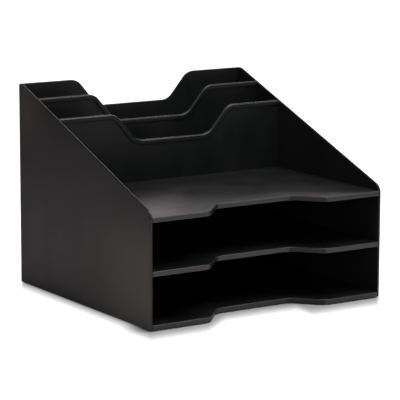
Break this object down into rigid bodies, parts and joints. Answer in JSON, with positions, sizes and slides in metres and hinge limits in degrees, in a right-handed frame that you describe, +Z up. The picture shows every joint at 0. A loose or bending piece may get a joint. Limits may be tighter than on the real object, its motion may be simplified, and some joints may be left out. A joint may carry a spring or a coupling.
{
  "type": "desk letter sorter with open trays",
  "caption": "Desk sorter with sloped side panels, open letter trays below and upright envelope slots behind a small top shelf, with finger notches in boards and dividers.",
  "frame": {"origin": "on the ground, in the middle of the footprint", "axes": "+X across the front to the viewer's right, +Y from the front edge to the back panel, +Z up"},
  "size_m": [0.32, 0.3, 0.245],
  "materials": {
    "satin_black_plastic": "satin, fine moulded texture",
    "black_rubber": "matt"
  },
  "bodies": {
    "root": {"left_side_panel": "satin_black_plastic", "right_side_panel": "satin_black_plastic", "back_panel": "satin_black_plastic", "bottom_board": "satin_black_plastic", "middle_shelf": "satin_black_plastic", "top_shelf": "satin_black_plastic", "front_divider": "satin_black_plastic", "middle_divider": "satin_black_plastic", "front_left_foot": "black_rubber", "front_right_foot": "black_rubber", "back_left_foot": "black_rubber", "back_right_foot": "black_rubber"}
  },
  "joints": []
}
